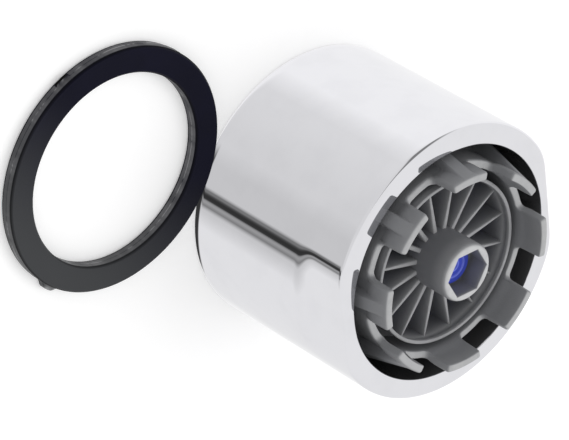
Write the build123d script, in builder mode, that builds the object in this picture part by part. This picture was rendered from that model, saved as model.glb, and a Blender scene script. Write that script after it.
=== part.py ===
from build123d import *
import os
from math import cos, radians, sin

# Tap aerator, standing on its inlet end with the outlet up, and its sealing washer lying beside it.
# Millimetres. The origin is the centre of the inlet end, and +Z points out of the outlet.

# Sleeve: female thread at the inlet, a ledge that stops the insert, spanner flats at the outlet.
thread_diameter = 22.0
thread_length = 6.2
thread_wall = 1.0
thread_height = 0.5
thread_lead_in = 0.3
sleeve_length = 17.4
seat_depth = 8.6
seat_ledge = 0.3
rim_chamfer = 0.2
edge_round = 0.35
outlet_relief = 0.04
flat_depth = 0.8
flat_length = 4.3
flat_round = 5.0
flat_angle = 50.0

# Insert body: flange on the ledge, shell round the stack, crown of ribbed tabs at the outlet.
flange_clearance = 0.15
flange_thickness = 1.4
air_gap = 1.1
shell_wall = 0.7
former_ledge = 0.45
former_seat_depth = 3.6
crown_wall = 0.7
crown_recess = 0.5
tab_count = 8
tab_angle = -3.0
tab_stand = 2.15
tab_flare = 0.18
tab_root = 0.8
tab_corner = 0.25
tab_end_round = 0.3
notch_width = 3.05
notch_round = 0.5
rib_width = 1.15
rib_clearance = 0.15
shell_taper = 0.8
window_width = 3.0

# Jet former: hub with a key socket, fins and ring, hung from its foot on the insert's inner ledge.
nest_clearance = 0.1
foot_thickness = 0.8
ring_groove = 0.72
ring_wall = 0.3
ring_recess = 0.4
fin_count = 16
fin_thickness = 0.25
fin_recess = 1.2
hub_stand = 2.1
hub_wall = 0.44
hub_round = 0.4
key_size = 3.6
key_depth = 1.6
key_angle = -17.5

# Jet splitter: perforated plate with a slotted skirt and a stem that ends in the key socket.
stem_ledge = 0.25
stem_clearance = 0.05
stem_rim_width = 0.5
stem_recess = 0.1
splitter_thickness = 1.1
skirt_wall = 0.8
jet_diameter = 0.9
jet_rows = 2
jet_row_pitch = 1.7
jet_row_margin = 1.2
jets_in_outer_row = 20
jets_lost_per_row = 6

# Flow regulator: rubber ring in a channel round a lobed core.
regulator_height = 2.2
regulator_floor = 0.8
core_diameter = 7.2
core_lobes = 8
core_lobe_depth = 0.5
o_ring_section = 1.3
o_ring_clearance = 0.1
channel_gap = 0.9
channel_port_diameter = 1.2

# Inlet strainer: slotted dish that fills the mouth of the insert.
strainer_rim_width = 1.0
strainer_rim_thickness = 0.8
strainer_rise = 1.0
strainer_slope = 1.6
strainer_wall = 0.6
strainer_slots = 18
strainer_slot_width = 0.5
strainer_slot_rows = 2
strainer_slot_step = 2.0
strainer_slot_margin = 0.9
strainer_centre = 2.4

# Sealing washer, taken off and laid beside the sleeve.
washer_clearance = 0.1
washer_width = 2.2
washer_thickness = 1.3
washer_edge = 0.25
washer_gap = 0.3
washer_angle = 18.0

# Radii and heights that follow from the sizes above.
thread_radius = thread_diameter / 2
sleeve_radius = thread_radius + thread_wall
seat_radius = thread_radius - thread_height
flange_radius = seat_radius - flange_clearance
bore_radius = seat_radius - seat_ledge
outlet_radius = sleeve_radius - outlet_relief
shell_radius = bore_radius - air_gap
chamber_radius = shell_radius - shell_wall
crown_inner = chamber_radius - former_ledge
crown_outer = crown_inner + crown_wall
shell_middle = chamber_radius + shell_wall / 2
crown_middle = crown_inner + crown_wall / 2
tab_inner = crown_inner + tab_flare
tab_outer = tab_inner + crown_wall
tab_middle = tab_inner + crown_wall / 2
rib_radius = bore_radius - rib_clearance
nest_radius = chamber_radius - nest_clearance
ring_outer = crown_inner - ring_groove
ring_inner = ring_outer - ring_wall
hub_radius = key_size / 2 / cos(radians(30)) + hub_wall
stem_radius = key_size / 2 - stem_ledge
skirt_inner = nest_radius - skirt_wall
core_radius = core_diameter / 2
o_ring_radius = core_radius + o_ring_clearance + o_ring_section / 2
channel_radius = o_ring_radius + o_ring_section / 2 + channel_gap
washer_radius = seat_radius - washer_clearance
washer_bore = 2 * (washer_radius - washer_width)

seat_height = sleeve_length - seat_depth
shoulder_height = sleeve_length - flat_length
inlet_face = seat_height - flange_thickness
strainer_top = inlet_face + strainer_rim_thickness
regulator_top = strainer_top + regulator_height
splitter_top = regulator_top + splitter_thickness
former_seat = sleeve_length - former_seat_depth
foot_bottom = former_seat - foot_thickness
crown_top = sleeve_length - crown_recess
tab_top = sleeve_length + tab_stand
rib_top = tab_top - tab_end_round
ring_top = sleeve_length - ring_recess
fin_top = sleeve_length - fin_recess
hub_top = sleeve_length + hub_stand
key_floor = hub_top - key_depth
skirt_height = foot_bottom - splitter_top

window_angle = tab_angle + 180 / tab_count
fin_angle = tab_angle + 180 / fin_count


# Sleeve: outlet end with spanner flats and polished edges, then the turned body below its shoulder.
with BuildPart() as housing_sleeve:
    with BuildSketch(Plane.XY.offset(shoulder_height).rotated((0, 0, flat_angle))):
        Circle(outlet_radius)
        Rectangle(2 * (sleeve_radius - flat_depth), 2 * sleeve_radius, mode=Mode.INTERSECT)
        fillet(vertices(), flat_round)
        Circle(bore_radius, mode=Mode.SUBTRACT)
    extrude(amount=flat_length)
    rim_face = faces().sort_by(Axis.Z)[-1]
    rim_edges = rim_face.outer_wire().edges()
    bore_edges = rim_face.inner_wires().edges()
    fillet(rim_edges, edge_round)
    chamfer(bore_edges, rim_chamfer)
    with BuildSketch(Plane.XZ):
        with BuildLine():
            Polyline(
                (sleeve_radius, 0),
                (thread_radius + thread_lead_in, 0),
                (thread_radius, thread_lead_in),
                (thread_radius, thread_length),
                (seat_radius, thread_length),
                (seat_radius, seat_height),
                (bore_radius, seat_height),
                (bore_radius, shoulder_height),
                (sleeve_radius, shoulder_height),
                close=True,
            )
        make_face()
        fillet(vertices().group_by(Axis.Y)[0].sort_by(Axis.X)[-1], edge_round)
    revolve(axis=Axis.Z)

# One notch of the crown, rounded at its floor and at the corners of the tabs beside it.
with BuildPart() as crown_notch:
    with BuildSketch(Plane.YZ.offset(ring_outer)):
        with Locations((0, crown_top)):
            Rectangle(notch_width, 2 * (tab_top - crown_top), align=(Align.CENTER, Align.MIN))
        with Locations((0, tab_top)):
            Rectangle(notch_width + 4 * tab_corner, tab_top - crown_top, align=(Align.CENTER, Align.MIN))
        fillet(vertices().group_by(Axis.Y)[0], notch_round)
        fillet(vertices().group_by(Axis.Y)[-2].sort_by(Axis.X)[1:3], tab_corner)
    extrude(amount=rib_radius - ring_outer)

# One rib, down the back of a tab to the root of the shell.
with BuildPart() as crown_rib:
    with BuildSketch(Plane.XZ):
        with BuildLine():
            Polyline(
                (shell_middle, seat_height),
                (rib_radius, seat_height),
                (rib_radius, former_seat),
                (tab_outer, rib_top),
                (tab_middle, rib_top),
                (crown_middle, crown_top),
                (crown_middle, former_seat + shell_taper / 2),
                (shell_middle, former_seat - shell_taper / 2),
                close=True,
            )
        make_face()
    extrude(amount=rib_width / 2, both=True)

# Insert body: one moulding of flange, shell, air windows and crown.
with BuildPart() as insert_body:
    with BuildSketch(Plane.XZ):
        with BuildLine():
            Polyline(
                (chamber_radius, inlet_face),
                (flange_radius, inlet_face),
                (flange_radius, seat_height),
                (shell_radius, seat_height),
                (shell_radius, former_seat - shell_taper / 2),
                (crown_outer, former_seat + shell_taper / 2),
                (crown_outer, crown_top),
                (tab_outer, crown_top + tab_root),
                (tab_outer, tab_top),
                (tab_inner, tab_top),
                (tab_inner, crown_top + tab_root),
                (crown_inner, crown_top),
                (crown_inner, former_seat),
                (chamber_radius, former_seat),
                close=True,
            )
        make_face()
        fillet(vertices().group_by(Axis.Y)[-1].sort_by(Axis.X)[-1], tab_end_round)
    revolve(axis=Axis.Z)
    with PolarLocations(0, tab_count, start_angle=window_angle):
        add(crown_notch.part, mode=Mode.SUBTRACT)
    with PolarLocations(0, tab_count, start_angle=tab_angle):
        add(crown_rib.part)
    with BuildSketch(Plane.XY.offset(splitter_top)):
        with PolarLocations(shell_radius, tab_count, start_angle=window_angle):
            Rectangle(2 * air_gap + 2 * shell_wall, window_width)
    extrude(amount=skirt_height, mode=Mode.SUBTRACT)

# Jet former: foot and ring, hub, and the fins between them.
with BuildPart() as jet_former:
    with BuildSketch(Plane.XZ):
        with BuildLine():
            Polyline(
                (ring_inner, foot_bottom),
                (nest_radius, foot_bottom),
                (nest_radius, former_seat),
                (ring_outer, former_seat),
                (ring_outer, ring_top),
                (ring_inner, ring_top),
                close=True,
            )
        make_face()
    revolve(axis=Axis.Z)
    with BuildSketch(Plane.XY.offset(foot_bottom)):
        Circle(hub_radius)
    extrude(amount=hub_top - foot_bottom)
    fillet(edges().group_by(Axis.Z)[-1], hub_round)
    with BuildSketch(Plane.XY.offset(foot_bottom)):
        with PolarLocations((hub_radius + ring_inner) / 2, fin_count, start_angle=fin_angle):
            Rectangle(ring_inner - hub_radius + ring_wall, fin_thickness)
    extrude(amount=fin_top - foot_bottom)
    with BuildSketch(Plane.XY.offset(hub_top)):
        RegularPolygon(key_size / 2, 6, major_radius=False, rotation=key_angle)
    extrude(amount=-key_depth, mode=Mode.SUBTRACT)
    with BuildSketch(Plane.XY.offset(foot_bottom)):
        Circle(stem_radius + stem_clearance)
    extrude(amount=key_floor - foot_bottom, mode=Mode.SUBTRACT)

# Jet splitter: plate, slotted skirt up to the foot of the jet former, and stem up the hub.
with BuildPart() as jet_splitter:
    with BuildSketch(Plane.XY.offset(regulator_top)):
        Circle(nest_radius)
    extrude(amount=splitter_thickness)
    with BuildSketch(Plane.XY.offset(splitter_top)):
        Circle(nest_radius)
        Circle(skirt_inner, mode=Mode.SUBTRACT)
        with PolarLocations(nest_radius, tab_count, start_angle=window_angle):
            Rectangle(4 * skirt_wall, window_width, mode=Mode.SUBTRACT)
    extrude(amount=skirt_height)
    with BuildSketch(Plane.XY.offset(splitter_top)):
        Circle(stem_radius)
    extrude(amount=key_floor - splitter_top)
    with BuildSketch(Plane.XY.offset(key_floor)):
        Circle(stem_radius - stem_rim_width)
    extrude(amount=-stem_recess, mode=Mode.SUBTRACT)
    with BuildSketch(Plane.XY.offset(splitter_top)):
        for row in range(jet_rows):
            row_radius = skirt_inner - jet_row_margin - row * jet_row_pitch
            with PolarLocations(row_radius, jets_in_outer_row - row * jets_lost_per_row):
                Circle(jet_diameter / 2)
    extrude(amount=-splitter_thickness, mode=Mode.SUBTRACT)

# Flow regulator: floor with ports under a channel, outer wall and lobed core.
with BuildPart() as flow_regulator:
    with BuildSketch(Plane.XY.offset(strainer_top)):
        Circle(nest_radius)
        Circle(channel_radius, mode=Mode.SUBTRACT)
        Circle(core_radius)
        with PolarLocations(core_radius, core_lobes):
            Circle(core_lobe_depth, mode=Mode.SUBTRACT)
    extrude(amount=regulator_height - regulator_floor)
    with BuildSketch(Plane.XY.offset(regulator_top)):
        Circle(nest_radius)
        with PolarLocations(o_ring_radius, core_lobes):
            Circle(channel_port_diameter / 2, mode=Mode.SUBTRACT)
    extrude(amount=-regulator_floor)

# Rubber ring on the floor of the regulator's channel.
with BuildPart() as regulator_o_ring:
    ring_height = regulator_top - regulator_floor - o_ring_section / 2
    with BuildSketch(Plane.XZ):
        with Locations((o_ring_radius, ring_height)):
            Circle(o_ring_section / 2)
    revolve(axis=Axis.Z)

# Inlet strainer: rim in the mouth of the insert and a raised dish with radial slots.
with BuildPart() as inlet_strainer:
    dish_radius = nest_radius - strainer_rim_width
    dish_face = inlet_face - strainer_rise
    with BuildSketch(Plane.XZ):
        with BuildLine():
            Polyline(
                (0, dish_face),
                (dish_radius - strainer_slope, dish_face),
                (dish_radius, inlet_face),
                (nest_radius, inlet_face),
                (nest_radius, strainer_top),
                (dish_radius - strainer_wall, strainer_top),
                (dish_radius - strainer_slope - strainer_wall, dish_face + strainer_wall),
                (0, dish_face + strainer_wall),
                close=True,
            )
        make_face()
    revolve(axis=Axis.Z)
    with BuildSketch(Plane.XY.offset(dish_face)):
        for row in range(strainer_slot_rows):
            slot_inner = strainer_centre + row * strainer_slot_step
            slot_outer = dish_radius - strainer_slot_margin
            slot_middle = (slot_inner + slot_outer) / 2
            row_angle = row * 180 / strainer_slots
            with PolarLocations(slot_middle, strainer_slots, start_angle=row_angle):
                Rectangle(slot_outer - slot_inner, strainer_slot_width)
    extrude(amount=strainer_top - dish_face, mode=Mode.SUBTRACT)

# Sealing washer, flat on the same surface as the sleeve.
with BuildPart() as sealing_washer:
    washer_reach = sleeve_radius + washer_gap + washer_radius
    washer_centre = (
        washer_reach * cos(radians(washer_angle)),
        washer_reach * sin(radians(washer_angle)),
    )
    with BuildSketch(Plane.XY):
        with Locations(washer_centre):
            Circle(washer_radius)
            Circle(washer_bore / 2, mode=Mode.SUBTRACT)
    extrude(amount=washer_thickness)
    chamfer(edges().filter_by(GeomType.CIRCLE), washer_edge)

housing_sleeve.part.label = "housing_sleeve"
insert_body.part.label = "insert_body"
jet_former.part.label = "jet_former"
jet_splitter.part.label = "jet_splitter"
flow_regulator.part.label = "flow_regulator"
regulator_o_ring.part.label = "regulator_o_ring"
inlet_strainer.part.label = "inlet_strainer"
sealing_washer.part.label = "sealing_washer"

os.makedirs("parts", exist_ok=True)
export_step(housing_sleeve.part, "parts/housing_sleeve.step")
export_step(insert_body.part, "parts/insert_body.step")
export_step(jet_former.part, "parts/jet_former.step")
export_step(jet_splitter.part, "parts/jet_splitter.step")
export_step(flow_regulator.part, "parts/flow_regulator.step")
export_step(regulator_o_ring.part, "parts/regulator_o_ring.step")
export_step(inlet_strainer.part, "parts/inlet_strainer.step")
export_step(sealing_washer.part, "parts/sealing_washer.step")
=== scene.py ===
"""Looks of a tap aerator that stands on its inlet end, with its sealing washer lying beside it.

Sizes in the classes are millimetres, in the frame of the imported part: the origin is the centre of
the inlet end and +Z points out of the outlet. Meshes are made in metres.
"""

from __future__ import annotations

import logging
import random
from dataclasses import dataclass
from enum import Enum
from math import acos, asin, cos, exp, hypot, pi, radians, sin, sqrt, tan, tau
from typing import Callable, Sequence

import bmesh
import bpy
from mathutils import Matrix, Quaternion, Vector

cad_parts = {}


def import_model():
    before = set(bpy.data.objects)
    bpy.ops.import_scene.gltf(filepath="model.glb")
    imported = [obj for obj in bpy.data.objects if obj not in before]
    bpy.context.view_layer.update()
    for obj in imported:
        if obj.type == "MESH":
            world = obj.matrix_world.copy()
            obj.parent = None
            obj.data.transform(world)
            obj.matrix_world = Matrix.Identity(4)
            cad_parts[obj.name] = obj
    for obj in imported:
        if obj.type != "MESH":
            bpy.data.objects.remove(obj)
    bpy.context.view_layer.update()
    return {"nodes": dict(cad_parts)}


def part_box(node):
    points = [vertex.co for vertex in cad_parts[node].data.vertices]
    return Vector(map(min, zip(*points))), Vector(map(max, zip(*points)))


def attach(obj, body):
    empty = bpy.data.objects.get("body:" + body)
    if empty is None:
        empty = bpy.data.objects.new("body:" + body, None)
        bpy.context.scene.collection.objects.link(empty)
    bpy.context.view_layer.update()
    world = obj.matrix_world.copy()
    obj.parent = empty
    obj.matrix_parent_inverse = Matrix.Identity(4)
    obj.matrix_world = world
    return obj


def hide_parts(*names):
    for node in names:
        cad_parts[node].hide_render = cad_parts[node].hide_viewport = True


MM = 0.001

# Marks that a mesh carries for its finish: wear with painted light and painted shade, and the bore
WEAR_AND_LIGHT = "wear_and_painted_light"
BORE = "bore"

# Millimetres within which points are welded, and places count as one
WELD = 0.0005
TOUCH = 0.001

# Angles between faces in degrees: edges are rounded above the first, and shaded smooth below the second
ROUNDED_ABOVE = 30.0
SMOOTH_BELOW = 38.0

# Upward part of a normal: the least of a face that gets painted light from above, where it starts and over
# what it grows
PAINTED_LIGHT_LEAST = 0.1
PAINTED_LIGHT_START = 0.4
PAINTED_LIGHT_SPAN = 0.55

Colour = tuple[float, float, float]
Point = tuple[float, float]
Spot = tuple[float, float, float]
Sockets = dict[str, bpy.types.NodeSocket]

log = logging.getLogger("tap_aerator")


class Slot(Enum):
    """Names of the material slots."""

    SLEEVE = "sleeve_chrome"
    INSERT = "insert_grey"
    FORMER = "former_grey"
    SPLITTER = "splitter_blue"
    REGULATOR = "regulator_white"
    O_RING = "o_ring_rubber"
    STRAINER = "strainer_grey"
    WASHER = "washer_rubber"


# Meshes round the axis


def polar(radius: float, angle: float, height: float) -> Spot:
    """Return the point at a radius, an angle round the axis and a height."""
    return radius * cos(angle), radius * sin(angle), height


def ease(value: float) -> float:
    """Return a smooth step from 0 to 1 while the value goes from 0 to 1."""
    share = min(max(value, 0.0), 1.0)
    return share**3 * (10.0 + share * (6.0 * share - 15.0))


def quarter_turn(steps: int) -> list[Point]:
    """Return the sines and cosines of even steps from 0 to 90 degrees."""
    return [(sin(pi / 2 * step / steps), cos(pi / 2 * step / steps)) for step in range(steps + 1)]


def everywhere(row: int, layer: int, column: int) -> bool:
    """Return that a cell is solid."""
    return True


def unmarked(row: int, layer: int, column: int) -> float:
    """Return that a point is unmarked: no wear, no painted light and no painted shade."""
    return 0.0


@dataclass(frozen=True)
class RingSolid:
    """Closed solid on a grid of rows, layers and columns round the axis, of which some cells are filled.

    Attributes:
        rows: Number of grid points from the inlet side to the outlet side.
        layers: Number of grid points from the inside to the outside.
        columns: Number of grid points round the axis.
        place: Gives the point of a row, a layer and a column, in millimetres.
        filled: Says whether the cell from a row, layer and column to the next ones is solid.
        wear_and_light: Wear and painted light at a point, up to 1, or painted shade, down to -1.
    """

    rows: int
    layers: int
    columns: int
    place: Callable[[int, int, int], Spot]
    filled: Callable[[int, int, int], bool] = everywhere
    wear_and_light: Callable[[int, int, int], float] = unmarked

    def solid(self, row: int, layer: int, column: int) -> bool:
        """Return whether a cell is inside the grid and filled."""
        inside = 0 <= row < self.rows - 1 and 0 <= layer < self.layers - 1
        return inside and self.filled(row, layer, column % self.columns)

    def mesh(self) -> bmesh.types.BMesh:
        """Make the mesh of the faces between filled cells and empty ones.

        Returns:
            The closed mesh, with its normals out and its mark for wear, painted light and painted shade.
        """
        made = bmesh.new()
        # This mark paints wear, painted highlight and light (above 0) and painted shade (below 0) into the
        # colour
        wear_and_light = made.loops.layers.float.new(WEAR_AND_LIGHT)
        points: dict[tuple[int, int, int], bmesh.types.BMVert] = {}

        def point(key: tuple[int, int, int]) -> bmesh.types.BMVert:
            """Return the vertex of a grid point, made when it is first asked for.

            Args:
                key: The row, the layer and the column.

            Returns:
                The vertex.
            """
            if key not in points:
                points[key] = made.verts.new(Vector(self.place(*key)) * MM)
            return points[key]

        steps = ((0, 0, 0), (1, 0, 0), (1, 1, 0), (0, 1, 0), (0, 0, 1), (1, 0, 1), (1, 1, 1), (0, 1, 1))
        sides = {
            (-1, 0, 0): (0, 3, 7, 4),
            (1, 0, 0): (1, 5, 6, 2),
            (0, -1, 0): (0, 4, 5, 1),
            (0, 1, 0): (3, 2, 6, 7),
            (0, 0, -1): (0, 1, 2, 3),
            (0, 0, 1): (4, 7, 6, 5),
        }
        cells = [
            (row, layer, column)
            for row in range(self.rows - 1)
            for layer in range(self.layers - 1)
            for column in range(self.columns)
            if self.filled(row, layer, column)
        ]
        for row, layer, column in cells:
            for (up, out, on), corners in sides.items():
                if self.solid(row + up, layer + out, column + on):
                    continue
                keys = [
                    (row + i, layer + j, (column + k) % self.columns)
                    for i, j, k in (steps[corner] for corner in corners)
                ]
                face = made.faces.new([point(key) for key in keys])
                for loop, key in zip(face.loops, keys):
                    loop[wear_and_light] = self.wear_and_light(*key)
        bmesh.ops.remove_doubles(made, verts=made.verts, dist=WELD * MM)
        bmesh.ops.delete(made, geom=[edge for edge in made.edges if edge.is_wire], context="EDGES")
        bmesh.ops.recalc_face_normals(made, faces=made.faces)
        return made


def round_edges(made: bmesh.types.BMesh, width: float, segments: int, paler_share: float) -> None:
    """Round the sharp edges that stand out, and mark the new faces paler as wear and painted highlight.

    Args:
        made: The mesh to change.
        width: Width of the rounding in millimetres.
        segments: Number of faces across the rounding.
        paler_share: Wear and painted highlight on the rounding, from 0 to 1.
    """
    edges = [
        edge
        for edge in made.edges
        if edge.is_manifold and edge.is_convex and edge.calc_face_angle(0.0) > radians(ROUNDED_ABOVE)
    ]
    rounded = bmesh.ops.bevel(
        made, geom=edges, offset=width * MM, offset_type="OFFSET", segments=segments,
        profile=0.5, affect="EDGES", clamp_overlap=True,
    )
    wear_and_light = made.loops.layers.float[WEAR_AND_LIGHT]
    # The rounded faces get wear and a painted highlight
    for face in rounded["faces"]:
        for loop in face.loops:
            loop[wear_and_light] = paler_share


def paint_light_on_ends(made: bmesh.types.BMesh, above: float, fullest_light: float = 1.0) -> None:
    """Paint light on the faces that look out of the outlet, up towards the lamp, the more the squarer they
    face it.

    Args:
        made: The mesh to mark.
        above: Height in millimetres above which faces are marked.
        fullest_light: Painted light on a face that faces it squarely.
    """
    wear_and_light = made.loops.layers.float[WEAR_AND_LIGHT]
    made.normal_update()
    # Faces turned up towards the overhead lamp get painted light
    for face in made.faces:
        if face.normal.z < PAINTED_LIGHT_LEAST or face.calc_center_median().z < above * MM:
            continue
        for loop in face.loops:
            mark_share = fullest_light * ease((loop.vert.normal.z - PAINTED_LIGHT_START) / PAINTED_LIGHT_SPAN)
            loop[wear_and_light] = max(loop[wear_and_light], mark_share)


def new_piece(made: bmesh.types.BMesh, name: str) -> bpy.types.Object:
    """Turn a mesh into a smooth-shaded object with flat faces kept flat.

    Args:
        made: The finished mesh, which is freed.
        name: Name of the object.

    Returns:
        The object, linked to the scene.
    """
    mesh = bpy.data.meshes.new(name)
    made.to_mesh(mesh)
    made.free()
    mesh.shade_smooth()
    mesh.set_sharp_from_angle(angle=radians(SMOOTH_BELOW))
    piece = bpy.data.objects.new(name, mesh)
    bpy.context.scene.collection.objects.link(piece)
    normals = piece.modifiers.new("flat_faces", "WEIGHTED_NORMAL")
    normals.keep_sharp = True
    return piece


def dress(piece: bpy.types.Object, finish: bpy.types.Material, slot: Slot, *nodes: str) -> None:
    """Give a piece its finish and tie it to the frame.

    Args:
        piece: The object to dress.
        finish: Its material.
        slot: Name of the slot for that material; not used.
        nodes: The nodes of the frame that the piece stands for.
    """
    piece.data.materials.clear()
    piece.data.materials.append(finish)
    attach(piece, "root")
    if nodes:
        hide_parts(*nodes)
    log.info("%s: %d faces, for %s", piece.name, len(piece.data.polygons), ", ".join(nodes) or "detail")


def unite(piece: bpy.types.Object, other: bpy.types.Object) -> None:
    """Join another solid into a piece as one closed mesh, and remove the other object.

    Args:
        piece: The object that keeps the result.
        other: The object that is joined in.
    """
    union = piece.modifiers.new("union", "BOOLEAN")
    union.operation = "UNION"
    union.solver = "EXACT"
    union.object = other
    piece.modifiers.move(len(piece.modifiers) - 1, 0)
    shading = piece.modifiers["flat_faces"]
    shading.show_viewport = False
    joined = bpy.data.meshes.new_from_object(piece.evaluated_get(bpy.context.evaluated_depsgraph_get()))
    shading.show_viewport = True
    piece.modifiers.remove(union)
    piece.data = joined
    joined.name = piece.name
    joined.set_sharp_from_angle(angle=radians(SMOOTH_BELOW))
    bpy.data.objects.remove(other)


# Nodes and finishes


class NodeSheet:
    """Adds and links the nodes of one tree."""

    def __init__(self, tree: bpy.types.NodeTree) -> None:
        """Take the tree to fill."""
        self.tree = tree

    def add(self, kind: str, inputs: dict[str, object] | None = None, **settings: object) -> bpy.types.Node:
        """Add a node.

        Args:
            kind: The node's type.
            inputs: Values or output sockets for its inputs, by socket name.
            settings: Properties of the node.

        Returns:
            The node.
        """
        node = self.tree.nodes.new(kind)
        for name, value in settings.items():
            setattr(node, name, value)
        for name, value in (inputs or {}).items():
            self.feed(node.inputs[name], value)
        return node

    def feed(self, socket: bpy.types.NodeSocket, value: object) -> None:
        """Link an output to a socket, or set the socket's own value.

        Args:
            socket: The input to feed.
            value: An output socket, or the value to set.
        """
        if isinstance(value, bpy.types.NodeSocket):
            self.tree.links.new(value, socket)
        else:
            socket.default_value = value

    def math(self, operation: str, *values: object) -> bpy.types.NodeSocket:
        """Add a Math node.

        Args:
            operation: The node's operation.
            values: Values or output sockets for its inputs, in order.

        Returns:
            The socket of the result.
        """
        node = self.add("ShaderNodeMath", operation=operation)
        for socket, value in zip(node.inputs, values):
            self.feed(socket, value)
        return node.outputs[0]

    def blend(self, factor: object, first: object, second: object) -> bpy.types.NodeSocket:
        """Add a Mix node for colours.

        Args:
            factor: Share of the second colour, as a value or a socket.
            first: The first colour, as a value or a socket.
            second: The second colour, as a value or a socket.

        Returns:
            The socket of the mixed colour.
        """
        node = self.add("ShaderNodeMix", data_type="RGBA")
        for index, value in ((0, factor), (6, first), (7, second)):
            self.feed(node.inputs[index], value)
        return node.outputs[2]

    def ramp(
        self, value: object, low: float, high: float, start: float = 0.0, end: float = 1.0
    ) -> bpy.types.NodeSocket:
        """Add a smooth Map Range.

        Args:
            value: The value or socket to map.
            low: Value that maps onto start.
            high: Value that maps onto end.
            start: Result at low.
            end: Result at high.

        Returns:
            The socket of the result.
        """
        limits = {"Value": value, "From Min": low, "From Max": high, "To Min": start, "To Max": end}
        node = self.add("ShaderNodeMapRange", limits, interpolation_type="SMOOTHSTEP")
        return node.outputs["Result"]


def rgba(colour: Colour) -> tuple[float, float, float, float]:
    """Return a colour with full alpha."""
    return (*colour, 1.0)


def new_group(
    name: str, inputs: dict[str, object], outputs: dict[str, str]
) -> tuple[NodeSheet, Sockets, Sockets]:
    """Start a shader node group.

    Args:
        name: Name of the group.
        inputs: Default of each input, by name. A number makes a value and a tuple makes a colour.
        outputs: Socket type of each output, by name.

    Returns:
        The sheet of the group, its input sockets and its output sockets, by name.
    """
    tree = bpy.data.node_groups.new(name, "ShaderNodeTree")
    for label, default in inputs.items():
        kind = "NodeSocketColor" if isinstance(default, tuple) else "NodeSocketFloat"
        tree.interface.new_socket(label, in_out="INPUT", socket_type=kind).default_value = default
    for label, kind in outputs.items():
        tree.interface.new_socket(label, in_out="OUTPUT", socket_type=kind)
    sheet = NodeSheet(tree)
    entry = sheet.add("NodeGroupInput")
    leave = sheet.add("NodeGroupOutput")
    given = {label: entry.outputs[label] for label in inputs}
    wanted = {label: leave.inputs[label] for label in outputs}
    return sheet, given, wanted


class SharedEffects:
    """Node groups that more than one finish uses.

    Attributes:
        cloud_range: Values of the slow noise between which the clouds rise.
        patch_range: Values of the noise between which worn patches rise.
        patch_least: Share of the wear and painted light that is left between the patches.
    """

    cloud_range: Point = (0.3, 0.7)
    patch_range: Point = (0.25, 0.6)
    patch_least: float = 0.8

    def __init__(self) -> None:
        """Build the groups."""
        self.grain = self.build_grain()
        self.wear_and_light = self.build_wear_and_light()

    def build_grain(self) -> bpy.types.NodeTree:
        """Build the grain of a moulded surface.

        Returns:
            A group with slow clouds, a roughness that follows them and the height of a fine grain.
        """
        sheet, given, wanted = new_group(
            "moulded_grain",
            {"Grain per mm": 6.0, "Clouds per mm": 0.25, "Smooth": 0.4, "Rough": 0.6},
            {"Clouds": "NodeSocketFloat", "Roughness": "NodeSocketFloat", "Height": "NodeSocketFloat"},
        )
        place = sheet.add("ShaderNodeTexCoord").outputs["Object"]
        grain_scale = sheet.math("DIVIDE", given["Grain per mm"], MM)
        cloud_scale = sheet.math("DIVIDE", given["Clouds per mm"], MM)
        clouds = sheet.add("ShaderNodeTexNoise", {"Vector": place, "Scale": cloud_scale, "Detail": 3.0})
        grain = sheet.add("ShaderNodeTexNoise", {"Vector": place, "Scale": grain_scale, "Detail": 2.0})
        cloud = sheet.ramp(clouds.outputs["Fac"], *self.cloud_range)
        spread = sheet.math("SUBTRACT", given["Rough"], given["Smooth"])
        mixed = sheet.math("MULTIPLY", sheet.math("ADD", cloud, grain.outputs["Fac"]), 0.5)
        sheet.feed(wanted["Clouds"], cloud)
        sheet.feed(wanted["Roughness"], sheet.math("MULTIPLY_ADD", mixed, spread, given["Smooth"]))
        sheet.feed(wanted["Height"], grain.outputs["Fac"])
        return sheet.tree

    def build_wear_and_light(self) -> bpy.types.NodeTree:
        """Build the colour of moulded faces with their wear, painted light and painted shade.

        Returns:
            A group that gives a face's colour: paler for wear and painted light, darker for painted shade.
        """
        sheet, given, wanted = new_group(
            "wear_and_painted_light",
            {
                "Face": rgba((0.3, 0.3, 0.3)),
                "Shade": rgba((0.25, 0.25, 0.25)),
                "Edge": rgba((0.5, 0.5, 0.5)),
                "Clouds": 0.5,
                "Amount": 0.7,
                "Patches per mm": 1.2,
            },
            {"Colour": "NodeSocketColor"},
        )
        place = sheet.add("ShaderNodeTexCoord").outputs["Object"]
        scale = sheet.math("DIVIDE", given["Patches per mm"], MM)
        patches = sheet.add("ShaderNodeTexNoise", {"Vector": place, "Scale": scale, "Detail": 3.0})
        marked = sheet.add("ShaderNodeAttribute", attribute_name=WEAR_AND_LIGHT).outputs["Fac"]
        mark_share = sheet.ramp(patches.outputs["Fac"], *self.patch_range, self.patch_least, 1.0)
        # Positive marks blend towards the edge colour: wear, painted highlight on edges, painted light on
        # lit faces
        paler_share = sheet.math("MULTIPLY", sheet.math("MULTIPLY", marked, mark_share), given["Amount"])
        face = sheet.blend(given["Clouds"], given["Shade"], given["Face"])
        # Negative marks blend towards black: painted shade
        with_painted_shade = sheet.blend(sheet.math("MULTIPLY", marked, -1.0), face, rgba((0.0, 0.0, 0.0)))
        sheet.feed(wanted["Colour"], sheet.blend(paler_share, with_painted_shade, given["Edge"]))
        return sheet.tree


def new_material(name: str) -> tuple[bpy.types.Material, NodeSheet, bpy.types.Node]:
    """Start a material.

    Args:
        name: Name of the material.

    Returns:
        The material, the sheet of its tree and its Principled shader.
    """
    material = bpy.data.materials.new(name)
    material.use_nodes = True
    sheet = NodeSheet(material.node_tree)
    return material, sheet, material.node_tree.nodes["Principled BSDF"]


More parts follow.
